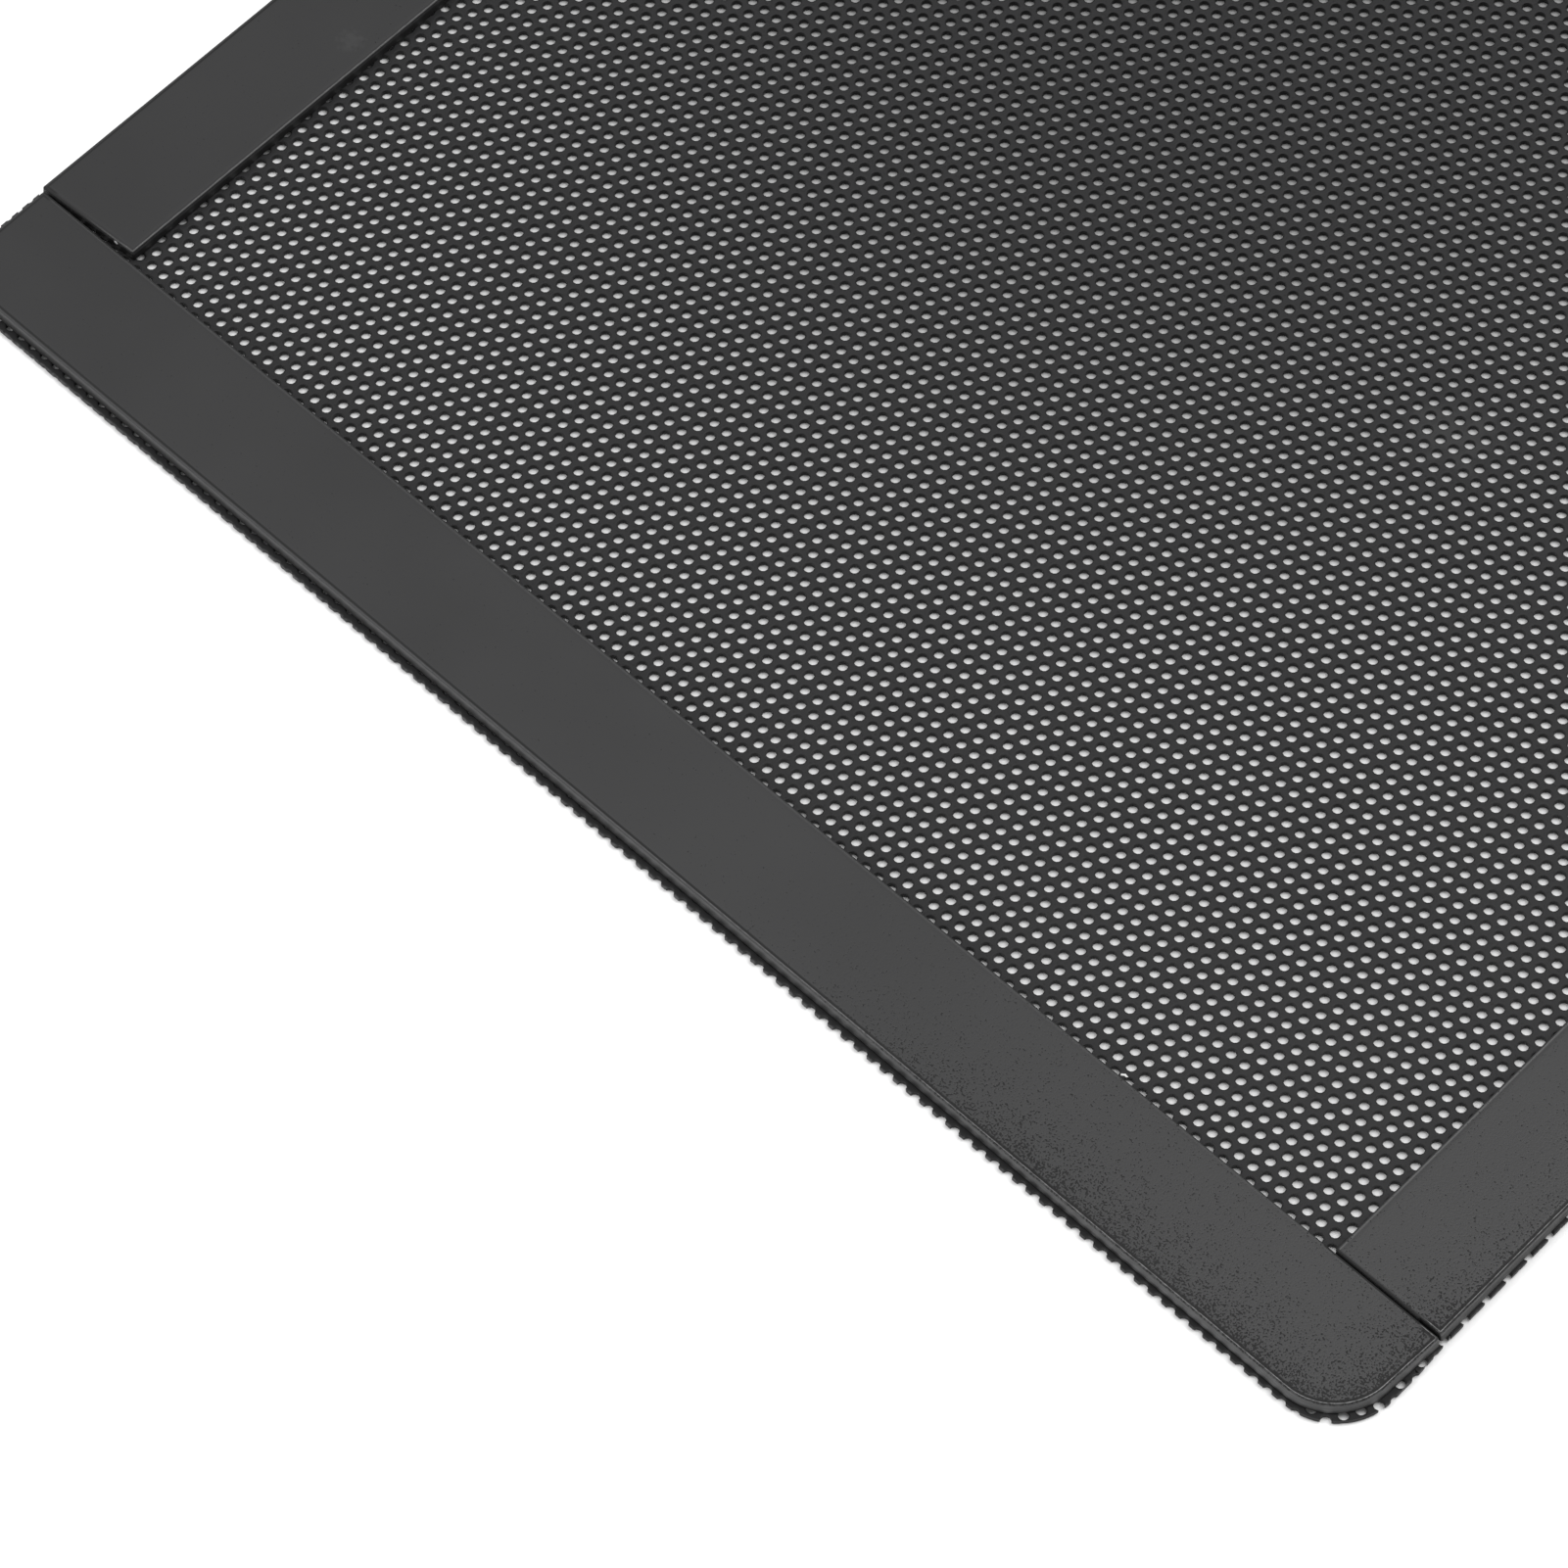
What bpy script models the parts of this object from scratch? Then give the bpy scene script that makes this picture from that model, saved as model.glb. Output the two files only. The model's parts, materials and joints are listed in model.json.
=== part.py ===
"""Magnetic dust filter for a 140 mm case fan.

A thin perforated vinyl sheet carries four flexible magnet strips round its edge, on its
upper side. The front and rear strips run the full width and have rounded outer corners.
The left and right strips are butted between them. Each strip is a ferrite-rubber core with
a grained vinyl face laminated on top and an adhesive layer that bonds it to the sheet.

Frame: +Z up, X along the front strip, origin at the centre of the sheet's underside.
"""

import math
from dataclasses import dataclass

import bmesh
import bpy
from mathutils import Matrix, Vector

# Lengths below are in millimetres, and MM turns them into Blender's metres.
MM = 0.001

# Perforated vinyl sheet, die-cut with rounded corners. Near its front right corner the
# right edge stands out by the bulge, which fades away over a short length.
SHEET_LENGTH_X = 139.5
SHEET_LENGTH_Y = 140.0
SHEET_THICKNESS = 0.4
SHEET_CORNER_RADIUS = 4.9
EDGE_BULGE = 0.19
BULGE_LENGTH = 8.0
BULGE_FADE = 3.3

# How far the sheet stands out past each strip's foot. The strips are laid by hand, so the
# four margins differ.
FRONT_OVERHANG = 0.55
REAR_OVERHANG = 0.5
LEFT_OVERHANG = 0.26
RIGHT_OVERHANG = 0.37

# Magnet strips. The ends of the long ones stop short of the side strips' outer walls by
# the setback. The front one is cut a little out of square: it is wider by the taper at its
# right end, and that end flares out towards the side strip.
LONG_STRIP_WIDTH = 9.7
LONG_STRIP_SETBACK = 0.35
FRONT_STRIP_TAPER = 0.2
FRONT_END_FLARE = 0.46
SIDE_STRIP_WIDTH = 9.5
STRIP_OUTER_RADIUS = 5.0
STRIP_CUT_RADIUS = 0.15
ADHESIVE_THICKNESS = 0.1
MAGNET_THICKNESS = 0.9
VINYL_THICKNESS = 0.15
ADHESIVE_SETBACK = 0.25

# The die that cuts the outer edges leans the magnet's wall in towards the top. The inner
# edges and the butted ends are slit square. The vinyl's rim is rolled over all round.
OUTER_WALL_LEAN = 0.14
VINYL_EDGE_ROUNDING = 0.14

# Butt joints between a side strip's ends and the long strips. The left strip's front end
# is cut askew, so its joint opens by the wedge towards the window, and the strip leans
# towards the window by the lean over its length.
JOINT_GAP = 0.14
LEFT_JOINT_WEDGE = 0.55
LEFT_STRIP_LEAN = 0.9

# Perforation. The real sheet has about 14,500 punched holes. Here each modelled hole
# stands for a patch of them, and the open share and the staggered layout stay the same.
HOLE_DIAMETER = 0.8
HOLE_PITCH = 1.25
HOLES_FUSED = 9
HOLE_FIELD_MARGIN = 1.0
HOLE_SIDES = 16

# Points on a quarter turn, for the large rounded corners and for the small cut ones
LARGE_CORNER_STEPS = 10
SMALL_CORNER_STEPS = 2
VINYL_ROUNDING_STEPS = 3
SHARPEST_CORNER = 0.05

VINYL_SHEET_COLOUR = (0.018, 0.018, 0.019)
VINYL_FACE_COLOUR = (0.052, 0.052, 0.054)
FERRITE_COLOUR = (0.035, 0.034, 0.034)
ADHESIVE_COLOUR = (0.05, 0.048, 0.045)

# Heights of the layers, from the underside up
SHEET_TOP = SHEET_THICKNESS
ADHESIVE_TOP = SHEET_TOP + ADHESIVE_THICKNESS
MAGNET_TOP = ADHESIVE_TOP + MAGNET_THICKNESS
VINYL_TOP = MAGNET_TOP + VINYL_THICKNESS

# Feet of the strips, measured from the sheet's centre
HALF_X = SHEET_LENGTH_X / 2
HALF_Y = SHEET_LENGTH_Y / 2
FRONT_OUTER = -HALF_Y + FRONT_OVERHANG
REAR_OUTER = HALF_Y - REAR_OVERHANG
LEFT_OUTER = -HALF_X + LEFT_OVERHANG
RIGHT_OUTER = HALF_X - RIGHT_OVERHANG
FRONT_INNER = FRONT_OUTER + LONG_STRIP_WIDTH
REAR_INNER = REAR_OUTER - LONG_STRIP_WIDTH
LEFT_INNER = LEFT_OUTER + SIDE_STRIP_WIDTH
RIGHT_INNER = RIGHT_OUTER - SIDE_STRIP_WIDTH
LONG_LEFT = LEFT_OUTER + LONG_STRIP_SETBACK
LONG_RIGHT = RIGHT_OUTER - LONG_STRIP_SETBACK
WIDE_FRONT_INNER = FRONT_INNER + FRONT_STRIP_TAPER


def clear_scene():
    """Remove whatever the file opened with."""
    for thing in list(bpy.data.objects):
        bpy.data.objects.remove(thing, do_unlink=True)


def make_material(name, colour, roughness):
    """A plain Principled finish for one kind of stock."""
    material = bpy.data.materials.new(name)
    material.use_nodes = True
    shader = material.node_tree.nodes["Principled BSDF"]
    shader.inputs["Base Color"].default_value = (*colour, 1.0)
    shader.inputs["Roughness"].default_value = roughness
    shader.inputs["Metallic"].default_value = 0.0
    return material


@dataclass
class PlatePlan:
    """Plan of a plate: its corners anticlockwise, the radius that rounds each one, or 0 for
    a sharp one, and whether the edge that starts there is one of the leaning outer edges."""

    corners: list
    radii: list
    outer: list


def inset_corner(before, corner, after, inset_before, inset_after):
    """Where two edges meet once each has stepped in by its own inset."""
    along_before = (corner - before).normalized()
    along_after = (after - corner).normalized()
    inward_before = Vector((-along_before.y, along_before.x))
    inward_after = Vector((-along_after.y, along_after.x))
    spread = inward_before.cross(inward_after)
    step_x = inset_before * inward_after.y - inset_after * inward_before.y
    step_y = inset_after * inward_before.x - inset_before * inward_after.x
    return corner + Vector((step_x, step_y)) / spread


def corner_arc(before, corner, after, radius, steps):
    """Points of the arc that rounds one convex corner, tangent to both of its edges."""
    back = (before - corner).normalized()
    ahead = (after - corner).normalized()
    half_angle = back.angle(ahead) / 2
    centre = corner + (back + ahead).normalized() * (radius / math.sin(half_angle))
    start = corner + back * (radius / math.tan(half_angle)) - centre
    turn = math.pi - 2 * half_angle
    points = []
    for step in range(steps + 1):
        spoke = start.copy()
        spoke.rotate(Matrix.Rotation(turn * step / steps, 2))
        points.append(centre + spoke)
    return points


def rounded_loop(plan, inset=0.0, lean=0.0):
    """Outline of a plate whose edges have all stepped in by the inset, and its outer ones
    by the lean as well. A rounded corner keeps its centre while both its edges move."""
    count = len(plan.corners)
    steps_in = [inset + (lean if outer else 0.0) for outer in plan.outer]
    moved = [
        inset_corner(
            plan.corners[i - 1],
            plan.corners[i],
            plan.corners[(i + 1) % count],
            steps_in[i - 1],
            steps_in[i],
        )
        for i in range(count)
    ]
    outline = []
    for i in range(count):
        if plan.radii[i] == 0:
            outline.append(moved[i])
            continue
        large = plan.radii[i] > STRIP_CUT_RADIUS
        steps = LARGE_CORNER_STEPS if large else SMALL_CORNER_STEPS
        radius = plan.radii[i] - min(steps_in[i - 1], steps_in[i])
        outline += corner_arc(
            moved[i - 1],
            moved[i],
            moved[(i + 1) % count],
            max(radius, SHARPEST_CORNER),
            steps,
        )
    return outline


def lofted_plate(name, plan, layers, base_height, material):
    """A flat plate skinned through its outline at several (inset, lean, height) layers."""
    shape = bmesh.new()
    rings = []
    for inset, lean, height in layers:
        outline = rounded_loop(plan, inset, lean)
        rings.append(
            [shape.verts.new((p.x * MM, p.y * MM, height * MM)) for p in outline]
        )
    count = len(rings[0])
    for lower, upper in zip(rings, rings[1:]):
        for i in range(count):
            j = (i + 1) % count
            shape.faces.new((lower[i], lower[j], upper[j], upper[i]))
    shape.faces.new(list(reversed(rings[0])))
    shape.faces.new(rings[-1])
    bmesh.ops.recalc_face_normals(shape, faces=shape.faces)

    mesh = bpy.data.meshes.new(name)
    shape.to_mesh(mesh)
    shape.free()
    mesh.materials.append(material)
    mesh.shade_smooth()
    mesh.set_sharp_from_angle(angle=math.radians(35))
    plate = bpy.data.objects.new(name, mesh)
    plate.location = (0.0, 0.0, base_height * MM)
    bpy.context.scene.collection.objects.link(plate)
    return plate


def hole_centres():
    """Staggered rows of fused holes that fill the window between the strips."""
    pitch = HOLE_PITCH * HOLES_FUSED
    diameter = HOLE_DIAMETER * HOLES_FUSED
    row_step = pitch * math.sqrt(3) / 2
    stagger = pitch / 2
    left_limit = LEFT_INNER + LEFT_STRIP_LEAN
    window_x = RIGHT_INNER - left_limit - 2 * HOLE_FIELD_MARGIN
    window_y = REAR_INNER - WIDE_FRONT_INNER - 2 * HOLE_FIELD_MARGIN
    rows = int((window_y - diameter) / row_step) + 1
    columns = int((window_x - diameter - stagger) / pitch) + 1
    first_x = (left_limit + RIGHT_INNER - (columns - 1) * pitch - stagger) / 2
    first_y = (WIDE_FRONT_INNER + REAR_INNER - (rows - 1) * row_step) / 2
    centres = []
    for row in range(rows):
        shift = stagger if row % 2 else 0.0
        for column in range(columns):
            centres.append(
                (first_x + shift + column * pitch, first_y + row * row_step)
            )
    return centres


def add_ring(curve, points):
    """Add one closed run of straight edges to a flat curve."""
    spline = curve.splines.new("POLY")
    spline.points.add(len(points) - 1)
    for place, point in zip(spline.points, points):
        place.co = (point[0] * MM, point[1] * MM, 0.0, 1.0)
    spline.use_cyclic_u = True


def build_mesh_sheet(material):
    """The perforated sheet: a flat filled curve with its holes, given its thickness."""
    curve = bpy.data.curves.new("mesh_sheet", "CURVE")
    curve.dimensions = "2D"
    curve.fill_mode = "BOTH"
    curve.extrude = SHEET_THICKNESS / 2 * MM
    bulge_end = -HALF_Y + BULGE_LENGTH
    corners = [
        Vector((-HALF_X, -HALF_Y)),
        Vector((HALF_X, -HALF_Y)),
        Vector((HALF_X, bulge_end)),
        Vector((HALF_X - EDGE_BULGE, bulge_end + BULGE_FADE)),
        Vector((HALF_X - EDGE_BULGE, HALF_Y)),
        Vector((-HALF_X, HALF_Y)),
    ]
    rounding = SHEET_CORNER_RADIUS
    radii = [rounding, rounding, 0.0, 0.0, rounding, rounding]
    plan = PlatePlan(corners, radii, [False] * len(corners))
    add_ring(curve, rounded_loop(plan))
    radius = HOLE_DIAMETER * HOLES_FUSED / 2
    for centre_x, centre_y in hole_centres():
        circle = []
        for side in range(HOLE_SIDES):
            angle = 2 * math.pi * side / HOLE_SIDES
            circle.append(
                (
                    centre_x + radius * math.cos(angle),
                    centre_y + radius * math.sin(angle),
                )
            )
        add_ring(curve, circle)
    curve.materials.append(material)
    sheet = bpy.data.objects.new("mesh_sheet", curve)
    sheet.location = (0.0, 0.0, SHEET_THICKNESS / 2 * MM)
    bpy.context.scene.collection.objects.link(sheet)
    return sheet


def strip_plans():
    """Foot plan of each strip, anticlockwise from its front left corner."""
    outer = STRIP_OUTER_RADIUS
    cut = STRIP_CUT_RADIUS
    left_end = FRONT_INNER + JOINT_GAP
    right_end = WIDE_FRONT_INNER + JOINT_GAP
    rear_end = REAR_INNER - JOINT_GAP
    return {
        "front": PlatePlan(
            [
                Vector((LONG_LEFT, FRONT_OUTER)),
                Vector((LONG_RIGHT, FRONT_OUTER)),
                Vector((LONG_RIGHT + FRONT_END_FLARE, WIDE_FRONT_INNER)),
                Vector((LONG_LEFT, FRONT_INNER)),
            ],
            [outer, outer, cut, cut],
            [True, True, False, True],
        ),
        "rear": PlatePlan(
            [
                Vector((LONG_LEFT, REAR_INNER)),
                Vector((LONG_RIGHT, REAR_INNER)),
                Vector((LONG_RIGHT, REAR_OUTER)),
                Vector((LONG_LEFT, REAR_OUTER)),
            ],
            [cut, cut, outer, outer],
            [False, True, True, True],
        ),
        "left": PlatePlan(
            [
                Vector((LEFT_OUTER, left_end)),
                Vector((LEFT_INNER, left_end + LEFT_JOINT_WEDGE)),
                Vector((LEFT_INNER + LEFT_STRIP_LEAN, rear_end)),
                Vector((LEFT_OUTER + LEFT_STRIP_LEAN, rear_end)),
            ],
            [cut, cut, cut, cut],
            [False, False, False, True],
        ),
        "right": PlatePlan(
            [
                Vector((RIGHT_INNER, right_end)),
                Vector((RIGHT_OUTER, right_end)),
                Vector((RIGHT_OUTER, rear_end)),
                Vector((RIGHT_INNER, rear_end)),
            ],
            [cut, cut, cut, cut],
            [False, True, False, False],
        ),
    }


def build_strip(side, plan, finishes):
    """One strip as its three layers: adhesive, ferrite-rubber core and vinyl face."""
    lofted_plate(
        side + "_adhesive",
        plan,
        [(ADHESIVE_SETBACK, 0.0, 0.0), (ADHESIVE_SETBACK, 0.0, ADHESIVE_THICKNESS)],
        SHEET_TOP,
        finishes["adhesive"],
    )
    lofted_plate(
        side + "_magnet",
        plan,
        [(0.0, 0.0, 0.0), (0.0, OUTER_WALL_LEAN, MAGNET_THICKNESS)],
        ADHESIVE_TOP,
        finishes["ferrite"],
    )
    rolled_rim = []
    for step in range(VINYL_ROUNDING_STEPS + 1):
        angle = math.pi / 2 * step / VINYL_ROUNDING_STEPS
        inset = VINYL_EDGE_ROUNDING * (1 - math.cos(angle))
        height = VINYL_THICKNESS - VINYL_EDGE_ROUNDING * (1 - math.sin(angle))
        rolled_rim.append((inset, OUTER_WALL_LEAN, height))
    lofted_plate(
        side + "_vinyl_face",
        plan,
        [(0.0, OUTER_WALL_LEAN, 0.0)] + rolled_rim,
        MAGNET_TOP,
        finishes["face"],
    )


def main():
    """Build the sheet and the four strips on it."""
    clear_scene()
    finishes = {
        "sheet": make_material("perforated_vinyl", VINYL_SHEET_COLOUR, 0.55),
        "face": make_material("grained_vinyl", VINYL_FACE_COLOUR, 0.5),
        "ferrite": make_material("ferrite_rubber", FERRITE_COLOUR, 0.6),
        "adhesive": make_material("adhesive", ADHESIVE_COLOUR, 0.7),
    }
    build_mesh_sheet(finishes["sheet"])
    for side, plan in strip_plans().items():
        build_strip(side, plan, finishes)


main()
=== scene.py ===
"""Looks of a magnetic dust filter for a case fan.

A black vinyl film, punched all over with small round holes, carries four flexible magnet
strips with a grained vinyl face. The strips are butted at the corners of the film. Lengths
in the classes are millimetres, and MM turns them into Blender's metres.
"""

import json
import logging
import math
from collections.abc import Iterator, Sequence
from contextlib import contextmanager
from dataclasses import dataclass
from enum import Enum

import bmesh
import bpy
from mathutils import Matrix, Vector

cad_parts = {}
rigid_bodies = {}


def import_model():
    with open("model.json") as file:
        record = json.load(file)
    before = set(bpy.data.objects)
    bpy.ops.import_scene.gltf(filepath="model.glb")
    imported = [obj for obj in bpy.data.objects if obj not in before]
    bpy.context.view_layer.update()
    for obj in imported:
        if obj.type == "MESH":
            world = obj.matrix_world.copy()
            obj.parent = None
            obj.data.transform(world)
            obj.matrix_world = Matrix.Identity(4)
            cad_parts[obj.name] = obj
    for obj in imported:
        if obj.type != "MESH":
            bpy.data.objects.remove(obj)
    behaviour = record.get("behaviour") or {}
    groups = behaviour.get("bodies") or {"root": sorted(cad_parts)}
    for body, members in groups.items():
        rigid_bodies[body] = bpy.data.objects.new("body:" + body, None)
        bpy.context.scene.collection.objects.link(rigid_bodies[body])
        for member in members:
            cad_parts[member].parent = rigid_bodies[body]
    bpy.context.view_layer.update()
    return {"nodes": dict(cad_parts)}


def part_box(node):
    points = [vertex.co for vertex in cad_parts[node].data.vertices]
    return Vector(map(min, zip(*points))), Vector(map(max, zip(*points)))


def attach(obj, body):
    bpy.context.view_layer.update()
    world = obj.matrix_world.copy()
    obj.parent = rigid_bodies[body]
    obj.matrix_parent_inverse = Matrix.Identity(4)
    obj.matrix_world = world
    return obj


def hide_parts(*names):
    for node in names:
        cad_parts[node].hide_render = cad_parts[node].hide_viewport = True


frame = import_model()

MM = 0.001
BODY = "root"
LINE = "rim_line"
NOISE_RANGE = (0.3, 0.7)
OCTAVES = 3.0
MIX_FIRST, MIX_SECOND, MIX_RESULT = 6, 7, 2
SAME_POINT = 1e-6
CUT_THRESHOLD = 1e-8
LEAST_CUT = 1e-7
LOG = logging.getLogger("dust_filter")

Point = tuple[float, float]
Place = tuple[float, float, float]
Colour = tuple[float, float, float]
Socket = bpy.types.NodeSocket


# Small helpers for modelling by operators


def metres(*lengths: float) -> tuple[float, ...]:
    """Lengths in millimetres, turned into metres."""
    return tuple(length * MM for length in lengths)


def deselect_all() -> None:
    """Leave nothing selected, so that an operator acts on the new piece alone."""
    for thing in bpy.context.view_layer.objects:
        thing.select_set(False)


def pick(piece: bpy.types.Object) -> None:
    """Select one piece alone and make it the active one.

    Args:
        piece: The object to select.
    """
    deselect_all()
    bpy.context.view_layer.objects.active = piece
    piece.select_set(True)


@contextmanager
def editing(piece: bpy.types.Object) -> Iterator[bmesh.types.BMesh]:
    """Open a piece in edit mode with nothing selected.

    Args:
        piece: The mesh object to edit.

    Returns:
        The edit mesh, while the block runs.
    """
    pick(piece)
    bpy.ops.object.mode_set(mode="EDIT")
    bpy.ops.mesh.select_all(action="DESELECT")
    try:
        yield bmesh.from_edit_mesh(piece.data)
    finally:
        bpy.ops.object.mode_set(mode="OBJECT")


def settle(piece: bpy.types.Object) -> None:
    """Put a piece's place into its mesh, so that the object sits at the origin."""
    pick(piece)
    bpy.ops.object.transform_apply(location=True, rotation=True, scale=True)


def shade(piece: bpy.types.Object, angle: float) -> None:
    """Shade a piece smooth wherever its faces meet at less than the angle, in degrees."""
    pick(piece)
    bpy.ops.object.shade_smooth_by_angle(angle=math.radians(angle))


def repeat(piece: bpy.types.Object, count: int, step: Vector) -> None:
    """Copy a piece along a line and join the copies where they meet.

    Args:
        piece: The mesh object to repeat.
        count: Number of copies, with the first.
        step: Way from one copy to the next, in metres.
    """
    array = piece.modifiers.new("repeat", "ARRAY")
    array.use_relative_offset = False
    array.use_constant_offset = True
    array.constant_offset_displace = step
    array.count = count
    array.use_merge_vertices = True
    array.merge_threshold = SAME_POINT
    pick(piece)
    bpy.ops.object.modifier_apply(modifier=array.name)


def cut_away(on: Vector, away: Vector) -> None:
    """Cut the selected faces along a plane and drop what lies beyond it."""
    bpy.ops.mesh.bisect(plane_co=on, plane_no=away, use_fill=False, clear_outer=True,
                        clear_inner=False, threshold=CUT_THRESHOLD)


# Outlines


@dataclass(frozen=True)
class PlanCorner:
    """A corner of a plate's plan. A radius of 0 leaves it sharp, and outer says that the
    edge which leaves it, anticlockwise, is one that the die cut with a leaning wall."""

    x: float
    y: float
    radius: float
    outer: bool = False


@dataclass(frozen=True)
class PlatePlan:
    """Plan of a plate, its corners anticlockwise in millimetres."""

    corners: Sequence[PlanCorner]
    large_steps: int = 28
    small_steps: int = 4
    large_radius: float = 2.0
    sharpest: float = 0.02

    def ring(self, inset: float = 0.0, lean: float = 0.0) -> list[Point]:
        """Outline whose edges have all stepped in.

        Args:
            inset: How far every edge steps in.
            lean: How much further the outer edges step in.

        Returns:
            Points anticlockwise, as many for every inset and lean.
        """
        count = len(self.corners)
        places = [Vector((corner.x, corner.y)) for corner in self.corners]
        steps_in = [inset + (lean if corner.outer else 0.0) for corner in self.corners]
        moved = [
            self.meet(places[i - 1], places[i], places[(i + 1) % count],
                      steps_in[i - 1], steps_in[i])
            for i in range(count)
        ]
        outline: list[Point] = []
        for i, corner in enumerate(self.corners):
            if corner.radius == 0:
                outline.append(tuple(moved[i]))
                continue
            radius = corner.radius - min(steps_in[i - 1], steps_in[i])
            outline += self.arc(
                moved[i - 1], moved[i], moved[(i + 1) % count],
                max(radius, self.sharpest),
                self.large_steps if corner.radius > self.large_radius else self.small_steps,
            )
        return outline

    @staticmethod
    def meet(before: Vector, corner: Vector, after: Vector,
             inset_before: float, inset_after: float) -> Vector:
        """Find where two edges meet once each has stepped in.

        Args:
            before: The corner before this one.
            corner: The corner where the edges meet.
            after: The corner after it.
            inset_before: How far the edge that arrives steps in.
            inset_after: How far the edge that leaves steps in.

        Returns:
            The corner's new place.
        """
        along_before = (corner - before).normalized()
        along_after = (after - corner).normalized()
        inward_before = Vector((-along_before.y, along_before.x))
        inward_after = Vector((-along_after.y, along_after.x))
        spread = inward_before.cross(inward_after)
        step_x = inset_before * inward_after.y - inset_after * inward_before.y
        step_y = inset_after * inward_before.x - inset_before * inward_after.x
        return corner + Vector((step_x, step_y)) / spread

    @staticmethod
    def arc(before: Vector, corner: Vector, after: Vector,
            radius: float, steps: int) -> list[Point]:
        """Round a convex corner by an arc that is tangent to both its edges.

        Args:
            before: The corner before this one.
            corner: The corner to round.
            after: The corner after it.
            radius: The arc's radius.
            steps: How many straight steps stand for the arc.

        Returns:
            The arc's points, anticlockwise.
        """
        back = (before - corner).normalized()
        ahead = (after - corner).normalized()
        half_angle = back.angle(ahead) / 2
        centre = corner + (back + ahead).normalized() * (radius / math.sin(half_angle))
        start = corner + back * (radius / math.tan(half_angle)) - centre
        turn = math.pi - 2 * half_angle
        points = []
        for step in range(steps + 1):
            angle = turn * step / steps
            points.append((
                centre.x + start.x * math.cos(angle) - start.y * math.sin(angle),
                centre.y + start.x * math.sin(angle) + start.y * math.cos(angle),
            ))
        return points


@dataclass(frozen=True)
class Layer:
    """One ring of a plate's wall: how far it is set in, how far the outer edges lean
    further in, and its height, in millimetres. Its line is 1 where the rim gets a painted
    highlight, -1 where it gets painted shade and 0 elsewhere."""

    inset: float
    lean: float
    height: float
    line: float = 0.0


def raise_plate(name: str, plan: PlatePlan, layers: Sequence[Layer]) -> bpy.types.Object:
    """Raise a plate from its foot, one extrusion for each layer.

    Args:
        name: The new piece's name.
        plan: The plate's plan.
        layers: Its rings from the foot up.

    Returns:
        The closed piece.
    """
    foot = plan.ring(layers[0].inset, layers[0].lean)
    deselect_all()
    bpy.ops.mesh.primitive_circle_add(
        vertices=len(foot), radius=MM, fill_type="NGON",
        location=metres(0.0, 0.0, layers[0].height),
    )
    piece = bpy.context.active_object
    piece.name = piece.data.name = name
    settle(piece)
    with editing(piece) as shape:
        line = shape.verts.layers.float.new(LINE)
        for corner, point in zip(list(shape.verts), foot):
            corner.co.x, corner.co.y = metres(*point)
            corner[line] = layers[0].line
        bpy.ops.mesh.select_all(action="SELECT")
        last = foot
        for lower, upper in zip(layers, layers[1:]):
            rise = (upper.height - lower.height) * MM
            bpy.ops.mesh.extrude_region_move(
                TRANSFORM_OT_translate={"value": (0.0, 0.0, rise)}
            )
            following = plan.ring(upper.inset, upper.lean)
            raised = [vertex for vertex in shape.verts if vertex.select]
            move_ring(raised, last, following)
            for vertex in raised:
                vertex[line] = upper.line
            last = following
        bpy.ops.mesh.select_all(action="SELECT")
        bpy.ops.mesh.normals_make_consistent(inside=False)
    return piece


def move_ring(raised: Sequence[bmesh.types.BMVert], last: Sequence[Point],
              following: Sequence[Point]) -> None:
    """Move each raised vertex from its point on one outline to that on the next.

    Args:
        raised: The vertices of the ring, in any order.
        last: The outline that they lie on.
        following: The outline to move them to, point for point.
    """
    left = list(range(len(last)))
    for vertex in raised:
        x, y = vertex.co.x / MM, vertex.co.y / MM
        nearest = min(left, key=lambda i: (last[i][0] - x) ** 2 + (last[i][1] - y) ** 2)
        left.remove(nearest)
        vertex.co.x, vertex.co.y = metres(*following[nearest])


# Places and marks that the finishes name


@dataclass(frozen=True)
class Fade:
    """A value's eased way from start to end between two lengths in millimetres."""

    near: float
    far: float
    start: float = 0.0
    end: float = 1.0


@dataclass(frozen=True)
class Region:
    """A soft-edged box between two corners, in millimetres."""

    low: Place
    high: Place
    softness: float


@dataclass(frozen=True)
class Spot:
    """A ragged round mark, its centre and radius in millimetres."""

    centre: Place
    radius: float
    ragged: float = 0.6


@dataclass(frozen=True)
class Dust:
    """Sparse specks: their spacing and size in millimetres, and the share that is there."""

    spacing: float
    size: float
    share: float


@dataclass(frozen=True)
class Chip:
    """A small oblong chip: its centre, turn in radians and half sizes in millimetres."""

    centre: Place
    turn: float
    half_length: float
    half_width: float
    half_height: float = 0.1
    softness: float = 0.06


# Shader trees


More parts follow.
